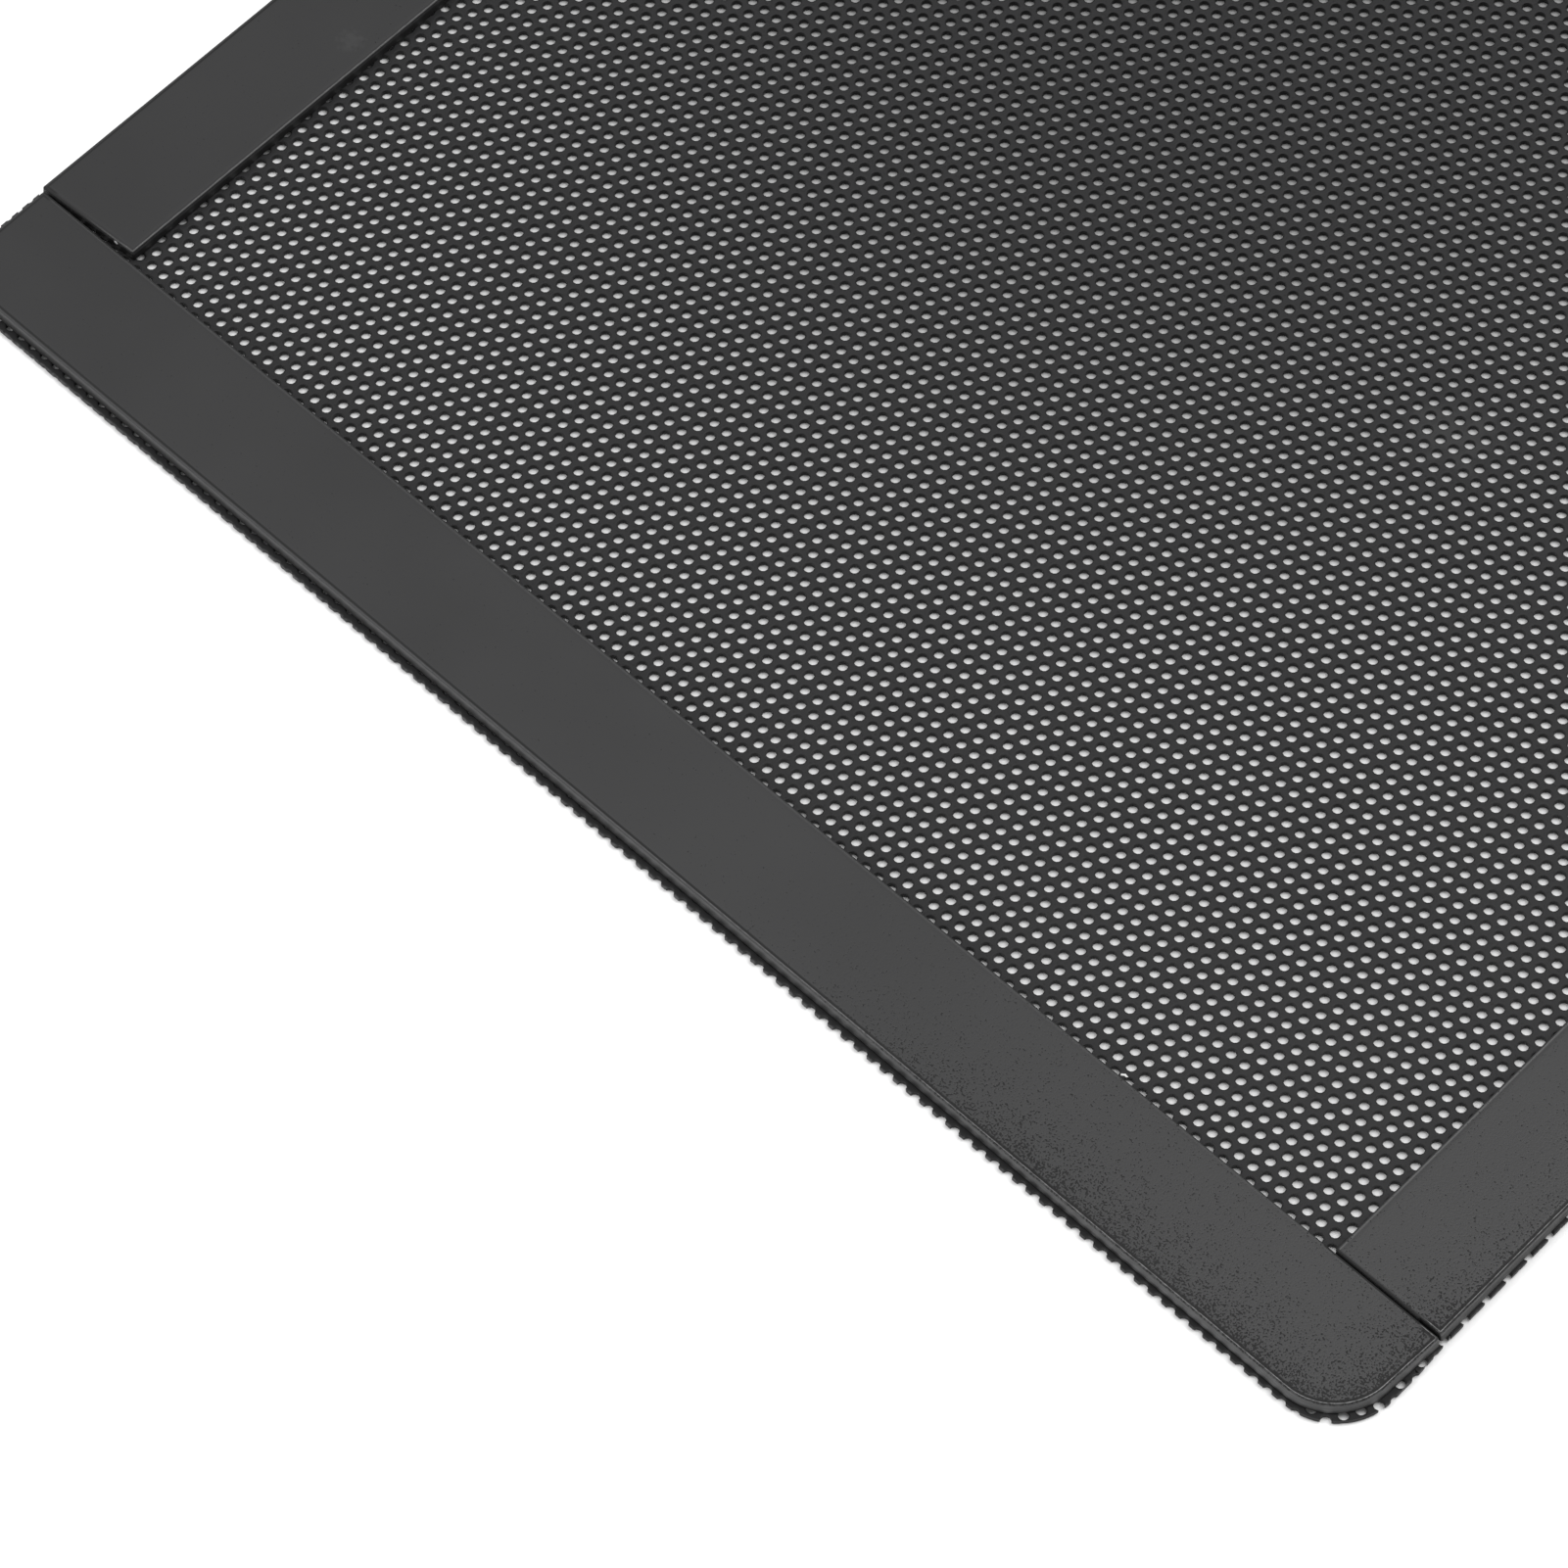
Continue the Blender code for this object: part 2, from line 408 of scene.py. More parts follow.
class Wiring:
    """Adds nodes to a shader tree and joins them."""

    def __init__(self, tree: bpy.types.NodeTree) -> None:
        """Work on one tree."""
        self.tree = tree

    def add(self, kind: str, **settings: object) -> bpy.types.Node:
        """Add a node.

        Args:
            kind: The node's type.
            settings: Its properties by name.

        Returns:
            The node.
        """
        node = self.tree.nodes.new(kind)
        for name, value in settings.items():
            setattr(node, name, value)
        return node

    def feed(self, socket: Socket, value: object) -> None:
        """Give an input its value.

        Args:
            socket: The input.
            value: An output to link it to, or a plain value.
        """
        if isinstance(value, Socket):
            self.tree.links.new(value, socket)
        else:
            socket.default_value = value

    def feed_all(self, node: bpy.types.Node, values: Sequence[object]) -> bpy.types.Node:
        """Give a node's first inputs their values.

        Args:
            node: The node.
            values: One value for each input, in order.

        Returns:
            The same node.
        """
        for socket, value in zip(node.inputs, values):
            self.feed(socket, value)
        return node

    def math(self, operation: str, *values: object, clamp: bool = False) -> Socket:
        """Result of a Math node."""
        node = self.add("ShaderNodeMath", operation=operation, use_clamp=clamp)
        return self.feed_all(node, values).outputs[0]

    def vector(self, operation: str, *values: object) -> bpy.types.Node:
        """A Vector Math node."""
        node = self.add("ShaderNodeVectorMath", operation=operation)
        return self.feed_all(node, values)

    def split(self, vector: object) -> bpy.types.NodeOutputs:
        """The X, Y and Z of a vector."""
        return self.feed_all(self.add("ShaderNodeSeparateXYZ"), (vector,)).outputs

    def span(self, value: object, low: object, high: object,
             start: object = 0.0, end: object = 1.0) -> Socket:
        """Ease a value from one range to another.

        Args:
            value: The value.
            low: Where its own range starts.
            high: Where its own range ends.
            start: What it becomes at low.
            end: What it becomes at high.

        Returns:
            The eased value.
        """
        node = self.add("ShaderNodeMapRange", interpolation_type="SMOOTHSTEP")
        for name, each in zip(("Value", "From Min", "From Max", "To Min", "To Max"),
                              (value, low, high, start, end)):
            self.feed(node.inputs[name], each)
        return node.outputs["Result"]

    def fade(self, length: object, fade: Fade) -> Socket:
        """A length in metres, eased as a fade says."""
        return self.span(length, fade.near * MM, fade.far * MM, fade.start, fade.end)

    def blend(self, share: object, first: object, second: object) -> Socket:
        """Mix two colours.

        Args:
            share: Share of the second colour.
            first: The first colour.
            second: The second colour.

        Returns:
            The mixed colour.
        """
        node = self.add("ShaderNodeMix", data_type="RGBA")
        self.feed(node.inputs[0], share)
        self.feed(node.inputs[MIX_FIRST], as_rgba(first))
        self.feed(node.inputs[MIX_SECOND], as_rgba(second))
        return node.outputs[MIX_RESULT]

    def mottle(self, cloud: Socket, share: float, colour: Colour, gain: float) -> Socket:
        """A colour that grows brighter by a gain where a cloud is dense."""
        brighter = tuple(each * gain for each in colour)
        return self.blend(self.math("MULTIPLY", cloud, share), colour, brighter)

    def coats(self, base: Socket, coats: Sequence[tuple[Socket, float, Colour]]) -> Socket:
        """Lay coats of colour over each other.

        Args:
            base: The colour under them.
            coats: The mask, strength and colour of each, from the lowest up.

        Returns:
            The colour on top.
        """
        for mask, strength, colour in coats:
            base = self.blend(self.math("MULTIPLY", mask, strength), base, colour)
        return base

    def noise(self, place: object, scale: object, detail: float = 2.0,
              roughness: float = 0.5) -> Socket:
        """Add a Noise Texture.

        Args:
            place: Where it is read.
            scale: Its scale, for each metre.
            detail: Its octaves.
            roughness: How strong the finer octaves are.

        Returns:
            Its value.
        """
        node = self.add("ShaderNodeTexNoise")
        self.feed(node.inputs["Vector"], place)
        self.feed(node.inputs["Scale"], scale)
        node.inputs["Detail"].default_value = detail
        node.inputs["Roughness"].default_value = roughness
        return node.outputs["Fac"]

    def group(self, tree: bpy.types.NodeTree, **values: object) -> bpy.types.Node:
        """Place a shared effect.

        Args:
            tree: The effect's group.
            values: Its inputs by name, with _ standing for a space.

        Returns:
            The group's node.
        """
        node = self.add("ShaderNodeGroup", node_tree=tree)
        for name, value in values.items():
            self.feed(node.inputs[name.replace("_", " ")], value)
        return node


def as_rgba(value: object) -> object:
    """A colour with its alpha, or an output as it is."""
    return (*value, 1.0) if isinstance(value, tuple) and len(value) == 3 else value


def new_group(name: str, inputs: dict[str, object], outputs: Sequence[str]
              ) -> tuple[Wiring, dict[str, Socket], bpy.types.Node]:
    """Start a node group.

    Args:
        name: The group's name.
        inputs: Default of each input by name. A tuple makes it a vector.
        outputs: Name of each output. All are numbers.

    Returns:
        The group's wiring, its inputs by name and its output node.
    """
    tree = bpy.data.node_groups.new(name, "ShaderNodeTree")
    for each, default in inputs.items():
        kind = "NodeSocketVector" if isinstance(default, tuple) else "NodeSocketFloat"
        socket = tree.interface.new_socket(name=each, in_out="INPUT", socket_type=kind)
        socket.default_value = default
    for each in outputs:
        tree.interface.new_socket(name=each, in_out="OUTPUT", socket_type="NodeSocketFloat")
    wiring = Wiring(tree)
    entry = wiring.add("NodeGroupInput")
    ends = {each: entry.outputs[each] for each in inputs}
    return wiring, ends, wiring.add("NodeGroupOutput")


def pebbled_grain() -> bpy.types.NodeTree:
    """Build the group of the fine pits and wrinkles rolled into soft vinyl.

    Cell Size is the spacing of the pits and Density the share of the surface, from 0 to 1,
    that they cover.

    Returns:
        The group.
    """
    coarse_scale, coarse_share = 0.22, 0.18
    bare_level, level_rise = 0.29, 0.19
    softness, pit_depth = 0.035, 0.6
    wiring, given, result = new_group(
        "pebbled_grain",
        {"Vector": (0.0, 0.0, 0.0), "Cell Size": 0.0004, "Density": 0.3},
        ("Height", "Pits"),
    )
    scale = wiring.math("DIVIDE", 1.0, given["Cell Size"])
    coarse = wiring.noise(given["Vector"], wiring.math("MULTIPLY", scale, coarse_scale), 2.0)
    fine = wiring.noise(given["Vector"], scale, 1.0, 0.5)
    wrinkles = wiring.math("ADD", wiring.math("MULTIPLY", fine, 1.0 - coarse_share),
                           wiring.math("MULTIPLY", coarse, coarse_share))
    level = wiring.math("ADD", bare_level,
                        wiring.math("MULTIPLY", given["Density"], level_rise))
    pits = wiring.span(wrinkles, wiring.math("SUBTRACT", level, softness),
                       wiring.math("ADD", level, softness), 1.0, 0.0)
    height = wiring.math("SUBTRACT", wrinkles, wiring.math("MULTIPLY", pits, pit_depth))
    wiring.feed(result.inputs["Height"], height)
    wiring.feed(result.inputs["Pits"], pits)
    return wiring.tree


def lint_specks() -> bpy.types.NodeTree:
    """Build the group of sparse pale specks of dust, each with its own size.

    Returns:
        The group.
    """
    least_size, core_share = 0.4, 0.6
    wiring, given, result = new_group(
        "lint_specks",
        {"Vector": (0.0, 0.0, 0.0), "Spacing": 0.004, "Speck Size": 0.00006, "Share": 0.3},
        ("Mask",),
    )
    scale = wiring.math("DIVIDE", 1.0, given["Spacing"])
    cells = wiring.add("ShaderNodeTexVoronoi", feature="F1")
    wiring.feed(cells.inputs["Vector"], given["Vector"])
    wiring.feed(cells.inputs["Scale"], scale)
    draw = wiring.add("ShaderNodeSeparateColor")
    wiring.feed(draw.inputs[0], cells.outputs["Color"])
    chosen = wiring.math("LESS_THAN", draw.outputs[0], given["Share"])
    size = wiring.math("MULTIPLY", given["Speck Size"], scale)
    own_size = wiring.math("MULTIPLY", size, wiring.math("ADD", draw.outputs[1], least_size))
    edge = wiring.span(cells.outputs["Distance"],
                       wiring.math("MULTIPLY", own_size, core_share), own_size, 1.0, 0.0)
    wiring.feed(result.inputs["Mask"], wiring.math("MULTIPLY", edge, chosen))
    return wiring.tree


def soft_patch() -> bpy.types.NodeTree:
    """Build the group of a ragged patch round a place, for scuffs.

    Returns:
        The group.
    """
    breaks, breakup_gain, core_share = 2.5, 4.0, 0.2
    wiring, given, result = new_group(
        "soft_patch",
        {"Vector": (0.0, 0.0, 0.0), "Centre": (0.0, 0.0, 0.0), "Radius": 0.003,
         "Ragged": 0.5},
        ("Mask",),
    )
    away = wiring.vector("DISTANCE", given["Vector"], given["Centre"]).outputs["Value"]
    far = wiring.math("DIVIDE", away, given["Radius"])
    breakup = wiring.noise(given["Vector"], wiring.math("DIVIDE", breaks, given["Radius"]), 4.0)
    rough = wiring.math("MULTIPLY", wiring.math("SUBTRACT", breakup, 0.5), given["Ragged"])
    edge = wiring.math("ADD", far, wiring.math("MULTIPLY", rough, breakup_gain))
    wiring.feed(result.inputs["Mask"], wiring.span(edge, core_share, 1.0, 1.0, 0.0))
    return wiring.tree


def edge_depth() -> bpy.types.NodeTree:
    """Build the group of how deep inside a rounded rectangle a place lies, from above.

    Returns:
        The group.
    """
    wiring, given, result = new_group(
        "edge_depth",
        {"Vector": (0.0, 0.0, 0.0), "Half Size": (0.07, 0.07, 0.0), "Radius": 0.005},
        ("Depth",),
    )
    flat = wiring.vector("MULTIPLY", given["Vector"], (1.0, 1.0, 0.0)).outputs[0]
    away = wiring.vector("ABSOLUTE", flat).outputs[0]
    radius = wiring.add("ShaderNodeCombineXYZ")
    wiring.feed(radius.inputs["X"], given["Radius"])
    wiring.feed(radius.inputs["Y"], given["Radius"])
    core = wiring.vector("SUBTRACT", given["Half Size"], radius.outputs[0]).outputs[0]
    over = wiring.vector("SUBTRACT", away, core).outputs[0]
    past = wiring.vector("MAXIMUM", over, (0.0, 0.0, 0.0)).outputs[0]
    outside = wiring.vector("LENGTH", past).outputs["Value"]
    parts = wiring.split(over)
    inside = wiring.math("MINIMUM", wiring.math("MAXIMUM", parts["X"], parts["Y"]), 0.0)
    out = wiring.math("ADD", outside, inside)
    wiring.feed(result.inputs["Depth"], wiring.math("SUBTRACT", given["Radius"], out))
    return wiring.tree


def soft_box() -> bpy.types.NodeTree:
    """Build the group of a soft-edged box between two corners.

    Returns:
        The group.
    """
    wiring, given, result = new_group(
        "soft_box",
        {"Vector": (0.0, 0.0, 0.0), "Low": (-0.01, -0.01, -0.01), "High": (0.01, 0.01, 0.01),
         "Softness": 0.001},
        ("Mask",),
    )
    above = wiring.vector("SUBTRACT", given["Vector"], given["Low"]).outputs[0]
    below = wiring.vector("SUBTRACT", given["High"], given["Vector"]).outputs[0]
    parts = wiring.split(wiring.vector("MINIMUM", above, below).outputs[0])
    least = wiring.math("MINIMUM", wiring.math("MINIMUM", parts["X"], parts["Y"]), parts["Z"])
    wiring.feed(result.inputs["Mask"], wiring.span(least, 0.0, given["Softness"]))
    return wiring.tree


class Effects:
    """The shared effects, each built once."""

    def __init__(self) -> None:
        """Build the groups."""
        self.grain = pebbled_grain()
        self.lint = lint_specks()
        self.patch = soft_patch()
        self.depth = edge_depth()
        self.box = soft_box()


class Surface(Wiring):
    """A new material, wired from its Object coordinates to its Principled BSDF."""

    def __init__(self, name: str, effects: Effects) -> None:
        """Start the material.

        Args:
            name: The material's name.
            effects: The shared effects.
        """
        self.material = bpy.data.materials.new(name)
        self.material.use_nodes = True
        super().__init__(self.material.node_tree)
        self.effects = effects
        self.shader = self.tree.nodes["Principled BSDF"]
        self.place = self.add("ShaderNodeTexCoord").outputs["Object"]

    def paint(self, colour: Socket, roughness: Socket | float,
              gloss: float | None = None) -> None:
        """Give the surface its finish.

        Args:
            colour: Its colour.
            roughness: Its roughness.
            gloss: Its specular level, where it isn't Blender's own.
        """
        self.feed(self.shader.inputs["Base Color"], colour)
        self.feed(self.shader.inputs["Roughness"], roughness)
        if gloss is not None:
            self.shader.inputs["Specular IOR Level"].default_value = gloss

    def bump(self, height: Socket, strength: float, relief: float) -> None:
        """Let a height stand up from the surface.

        Args:
            height: The height, from 0 to about 1.
            strength: How much of it shows.
            relief: What a height of 1 measures, in millimetres.
        """
        node = self.add("ShaderNodeBump")
        node.inputs["Strength"].default_value = strength
        node.inputs["Distance"].default_value = relief * MM
        self.feed(node.inputs["Height"], height)
        self.feed(self.shader.inputs["Normal"], node.outputs[0])

    def moved(self, centre: Place, turn: float) -> Socket:
        """Read the surface's places along turned axes.

        Args:
            centre: The new origin in millimetres.
            turn: The turn about Z in radians.

        Returns:
            The places in the new axes.
        """
        mapping = self.add("ShaderNodeMapping", vector_type="TEXTURE")
        mapping.inputs["Location"].default_value = metres(*centre)
        mapping.inputs["Rotation"].default_value = (0.0, 0.0, turn)
        self.feed(mapping.inputs["Vector"], self.place)
        return mapping.outputs[0]

    def away(self, centre: Place) -> Socket:
        """Distance from a centre in millimetres, as metres."""
        return self.vector("DISTANCE", self.place, metres(*centre)).outputs["Value"]

    def grain(self, size: float, density: object = 0.3) -> bpy.types.NodeOutputs:
        """Height and Pits of a grain of a size in millimetres."""
        return self.group(self.effects.grain, Vector=self.place, Cell_Size=size * MM,
                          Density=density).outputs

    def inside(self, half_size: Point, radius: float) -> Socket:
        """Depth inside a rounded rectangle, whose sizes are in millimetres."""
        return self.group(self.effects.depth, Vector=self.place, Radius=radius * MM,
                          Half_Size=metres(*half_size, 0.0)).outputs["Depth"]

    def region(self, region: Region, place: Socket | None = None) -> Socket:
        """Mask of a region, in the surface's own axes or in other ones."""
        return self.group(self.effects.box, Vector=place or self.place,
                          Low=metres(*region.low), High=metres(*region.high),
                          Softness=region.softness * MM).outputs["Mask"]

    def spot(self, spot: Spot) -> Socket:
        """Mask of a spot."""
        return self.group(self.effects.patch, Vector=self.place, Centre=metres(*spot.centre),
                          Radius=spot.radius * MM, Ragged=spot.ragged).outputs["Mask"]

    def dust(self, dust: Dust) -> Socket:
        """Mask of the specks of dust."""
        return self.group(self.effects.lint, Vector=self.place, Spacing=dust.spacing * MM,
                          Speck_Size=dust.size * MM, Share=dust.share).outputs["Mask"]


@dataclass(frozen=True)
class PunchedFilm:
    """Finish of the black film: semi-matt vinyl, each hole ringed with a dark lip of painted
    shade. The film by the cut edge, at the strips' foot, is darkened with painted shade, the
    cut edge carries a broken painted highlight, and two curled chips lie by the front strip."""

    turn: float
    phase: Point
    pitch: float
    hole_radius: float
    half_size: Point
    corner_radius: float
    colour: Colour = (0.0155, 0.0155, 0.0161)
    pit_and_shade_colour: Colour = (0.005, 0.005, 0.0053)
    edge_highlight_colour: Colour = (0.075, 0.075, 0.077)
    scuff_colour: Colour = (0.06, 0.06, 0.06)
    lint_colour: Colour = (0.4, 0.4, 0.4)
    chip_colour: Colour = (0.75, 0.75, 0.74)
    roughness: Point = (0.51, 0.61)
    gloss: float = 0.22
    lip_width: float = 0.09
    cloud_scale: float = 90.0
    cloud_share: float = 0.5
    cloud_gain: float = 1.4
    highlight_break_scale: float = 2500.0
    highlight_break_range: Point = (0.35, 0.6)
    grain_size: float = 0.22
    grain_density: float = 0.5
    grain_share: float = 0.12
    relief: float = 0.04
    relief_strength: float = 0.6
    edge_highlight_reach: Fade = Fade(0.0, 0.16, 1.0, 0.0)
    fringe_shade: Fade = Fade(0.4, 1.2, 1.0, 0.0)
    scuff: Spot = Spot((22.04, -4.5, 0.4), 4.0)
    lint: Dust = Dust(7.0, 0.07, 0.35)
    chips: Sequence[Chip] = (
        Chip((39.96, -58.97, 0.4), 0.64, 0.18, 0.10),
        Chip((40.48, -58.96, 0.4), -0.20, 0.50, 0.10),
    )

    def material(self, effects: Effects) -> bpy.types.Material:
        """Build the film's material.

        Args:
            effects: The shared effects.

        Returns:
            The material.
        """
        film = Surface("punched_film", effects)
        lip = self.lip(film)
        depth = film.inside(self.half_size, self.corner_radius)
        # Noise that breaks the painted highlight along the cut edge.
        highlight_breaks = film.span(film.noise(film.place, self.highlight_break_scale, OCTAVES), *self.highlight_break_range)
        edge_highlight_mask = film.math("MULTIPLY", film.fade(depth, self.edge_highlight_reach), highlight_breaks)
        grain = film.grain(self.grain_size, self.grain_density)
        cloud = film.noise(film.place, self.cloud_scale, OCTAVES)
        base = film.mottle(cloud, self.cloud_share, self.colour, self.cloud_gain)
        colour = film.coats(base, (
            (grain["Pits"], 0.4, self.pit_and_shade_colour),
            (film.spot(self.scuff), 0.25, self.scuff_colour),
            # Painted shade: a dark ring round the lip of each hole.
            (lip, 0.8, self.pit_and_shade_colour),
            # Painted shade on the film by its cut edge, at the foot of the strips.
            (film.fade(depth, self.fringe_shade), 0.75, self.pit_and_shade_colour),
            # Painted highlight along the cut edge, broken by noise.
            (edge_highlight_mask, 0.7, self.edge_highlight_colour),
            (film.dust(self.lint), 1.0, self.lint_colour),
            (self.chipped(film), 1.0, self.chip_colour),
        ))
        film.paint(colour, film.span(cloud, *NOISE_RANGE, *self.roughness), self.gloss)
        rough = film.math("MULTIPLY", grain["Height"], self.grain_share)
        film.bump(film.math("SUBTRACT", rough, lip), self.relief_strength, self.relief)
        return film.material

    def lip(self, film: Surface) -> Socket:
        """Mask the lip round each hole, where painted shade goes, from the lattice of the
        punches.

        Args:
            film: The film's surface.

        Returns:
            The mask.
        """
        lattice = film.moved((*self.phase, 0.0), self.turn)
        flat = film.vector("MULTIPLY", lattice, (1.0, 1.0, 0.0)).outputs[0]
        half = (self.pitch / 2 * MM, self.pitch * math.sqrt(3) / 2 * MM, 1.0)
        lowest = tuple(-each for each in half)
        near = []
        for shift in ((0.0, 0.0, 0.0), (half[0], half[1], 0.0)):
            shifted = film.vector("ADD", flat, shift).outputs[0]
            wrapped = film.vector("WRAP", shifted, half, lowest).outputs[0]
            near.append(film.vector("LENGTH", wrapped).outputs["Value"])
        fade = Fade(self.hole_radius, self.hole_radius + self.lip_width, 1.0, 0.0)
        return film.fade(film.math("MINIMUM", *near), fade)

    def chipped(self, film: Surface) -> Socket:
        """Mask the curled pale chips that lie by the front strip's inner edge.

        Args:
            film: The film's surface.

        Returns:
            The mask.
        """
        masks = []
        for chip in self.chips:
            half = (chip.half_length, chip.half_width, chip.half_height)
            region = Region(tuple(-each for each in half), half, chip.softness)
            masks.append(film.region(region, film.moved(chip.centre, chip.turn)))
        return film.math("MAXIMUM", *masks)


@dataclass(frozen=True)
class GrainedVinyl:
    """Finish of a strip's face: dark grey vinyl whose grain deepens to the front right. Its
    rims carry a broken painted highlight, and painted shade lies in the groove inside the rim,
    on the rims by the joints and on the right edge.
    """

    colour: Colour = (0.0164, 0.0164, 0.0169)
    pit_colour: Colour = (0.002, 0.002, 0.0021)
    rim_highlight_colour: Colour = (0.24, 0.24, 0.24)
    scuff_colour: Colour = (0.12, 0.12, 0.12)
    lint_colour: Colour = (0.35, 0.35, 0.35)
    roughness: Point = (0.40, 0.47)
    pit_roughness: float = 0.4
    gloss: float = 0.5
    cloud_scale: float = 60.0
    cloud_share: float = 0.4
    cloud_gain: float = 1.2
    cell_size: float = 0.15
    relief: float = 0.016
    least_relief: float = 0.25
    half_size: Point = (69.2, 69.4)
    corner_radius: float = 5.0
    scuff: Spot = Spot((-61.96, -34.5, 1.5), 1.2)
    lint: Dust = Dust(6.0, 0.06, 0.3)
    grain_rightward: Fade = Fade(4.0, 42.0)
    grain_by_edge: Fade = Fade(6.5, 1.2, 0.34, 0.75)
    grain_at_rim: Fade = Fade(2.0, 0.6, 0.0, 0.3)
    grain_forward: Fade = Fade(-50.0, -64.0, 0.6, 1.0)
    rim_zone: Fade = Fade(1.6, 0.9)
    rim_highlight_rightward: Fade = Fade(-30.0, 62.0)
    rim_break_scale: float = 1300.0
    rim_break_roughness: float = 0.6
    rim_break_range: Point = (0.38, 0.6)
    rim_highlight_gain: float = 0.75
    least_rim_highlight: float = 0.4
    left_rim_highlight: float = 0.4
    pale_line: Point = (0.6, 1.0)
    rim_line: Point = (0.1, 0.4)
    edge_shade_strength: float = 0.7
    groove_shade_strength: float = 0.9
    left_inner_rim: Region = Region((-61.2, -59.8, 0.0), (-58.5, 20.0, 10.0), 0.5)
    right_joint: Region = Region((59.0, -60.5, 0.0), (68.8, -59.1, 10.0), 0.2)
    left_joint: Region = Region((-70.0, -60.5, 0.0), (-59.8, -59.1, 10.0), 0.2)
    right_edge: Region = Region((67.0, -59.0, 0.0), (71.0, 61.0, 10.0), 0.5)

    def material(self, effects: Effects) -> bpy.types.Material:
        """Build the face's material.

        Args:
            effects: The shared effects.

        Returns:
            The material.
        """
        vinyl = Surface("grained_vinyl", effects)
        parts = vinyl.split(vinyl.place)
        depth = vinyl.inside(self.half_size, self.corner_radius)
        worn = self.worn(vinyl, parts, depth)
        grain = vinyl.grain(self.cell_size, worn)
        cloud = vinyl.noise(vinyl.place, self.cloud_scale, OCTAVES)
        line = vinyl.add("ShaderNodeAttribute", attribute_name=LINE).outputs["Fac"]
        rim = vinyl.fade(depth, self.rim_zone)
        front_right = vinyl.math("MULTIPLY", rim, vinyl.fade(parts["X"], self.rim_highlight_rightward))
        groove = self.groove(vinyl, line, rim)
        base = vinyl.mottle(cloud, self.cloud_share, self.colour, self.cloud_gain)
        colour = vinyl.coats(base, (
            (grain["Pits"], 0.75, self.pit_colour),
            (vinyl.spot(self.scuff), 0.08, self.scuff_colour),
            # Painted shade in the groove inside the rim, on the rims by the joints and at the
            # right edge.
            (groove, 1.0, self.pit_colour),
            # Painted highlight along the rim, broken here and there.
            (self.painted_rim_highlight(vinyl, line, front_right), 1.0, self.rim_highlight_colour),
            (vinyl.dust(self.lint), 1.0, self.lint_colour),
        ))
        sheen = vinyl.span(cloud, *NOISE_RANGE, *self.roughness)
        dull = vinyl.math("MULTIPLY", vinyl.math("MAXIMUM", grain["Pits"], groove),
                          self.pit_roughness)
        vinyl.paint(colour, vinyl.math("ADD", sheen, dull, clamp=True), self.gloss)
        pressed = vinyl.math("ADD", self.least_relief,
                             vinyl.math("MULTIPLY", worn, 1.0 - self.least_relief))
        vinyl.bump(vinyl.math("MULTIPLY", grain["Height"], pressed), 1.0, self.relief)
        return vinyl.material

    def worn(self, vinyl: Surface, parts: bpy.types.NodeOutputs, depth: Socket) -> Socket:
        """Share of the grain that was pressed deep: most at the front right edge.

        Args:
            vinyl: The face's surface.
            parts: The X, Y and Z of its places.
            depth: Depth inside the strips' outline.

        Returns:
            The share.
        """
        close = vinyl.math("ADD", vinyl.fade(depth, self.grain_by_edge),
                           vinyl.fade(depth, self.grain_at_rim))
        rightward = vinyl.math("MULTIPLY", vinyl.fade(parts["X"], self.grain_rightward), close)
        return vinyl.math("MULTIPLY", rightward, vinyl.fade(parts["Y"], self.grain_forward))

    def painted_rim_highlight(self, vinyl: Surface, line: Socket, front_right: Socket) -> Socket:
        """Mask the painted highlight along the rim, broken here and there.

        Args:
            vinyl: The face's surface.
            line: The rim's own line.
            front_right: Mask of the rim at the front right, where the painted highlight is
                strongest.

        Returns:
            The mask.
        """
        left = vinyl.math("MULTIPLY", vinyl.region(self.left_inner_rim), self.left_rim_highlight)
        spots = vinyl.math("MAXIMUM", front_right, left)
        pale = vinyl.math("MULTIPLY", vinyl.span(line, *self.pale_line), spots)
        rim_breaks = vinyl.noise(vinyl.place, self.rim_break_scale, OCTAVES, self.rim_break_roughness)
        broken = vinyl.math("MULTIPLY", vinyl.span(rim_breaks, *self.rim_break_range), self.rim_highlight_gain)
        patchy = vinyl.math("ADD", broken, self.least_rim_highlight)
        return vinyl.math("MULTIPLY", pale, patchy, clamp=True)

    def groove(self, vinyl: Surface, line: Socket, rim: Socket) -> Socket:
        """Mask the painted shade in the groove inside the rim, and on the rims by the joints
        and at the right edge.

        Args:
            vinyl: The face's surface.
            line: The rim's own line.
            rim: Mask of the filter's outer rim.

        Returns:
            The mask.
        """
        dark = vinyl.math("MAXIMUM", vinyl.math("MULTIPLY", line, -1.0), 0.0)
        joints = vinyl.math("MAXIMUM", vinyl.region(self.right_joint),
                            vinyl.region(self.left_joint))
        edge = vinyl.math("MULTIPLY", vinyl.region(self.right_edge), self.edge_shade_strength)
        hollow = vinyl.math("MULTIPLY", vinyl.span(line, *self.rim_line),
                            vinyl.math("MAXIMUM", joints, edge))
        groove = vinyl.math("MAXIMUM", vinyl.math("MULTIPLY", dark, rim), hollow)
        return vinyl.math("MULTIPLY", groove, self.groove_shade_strength, clamp=True)


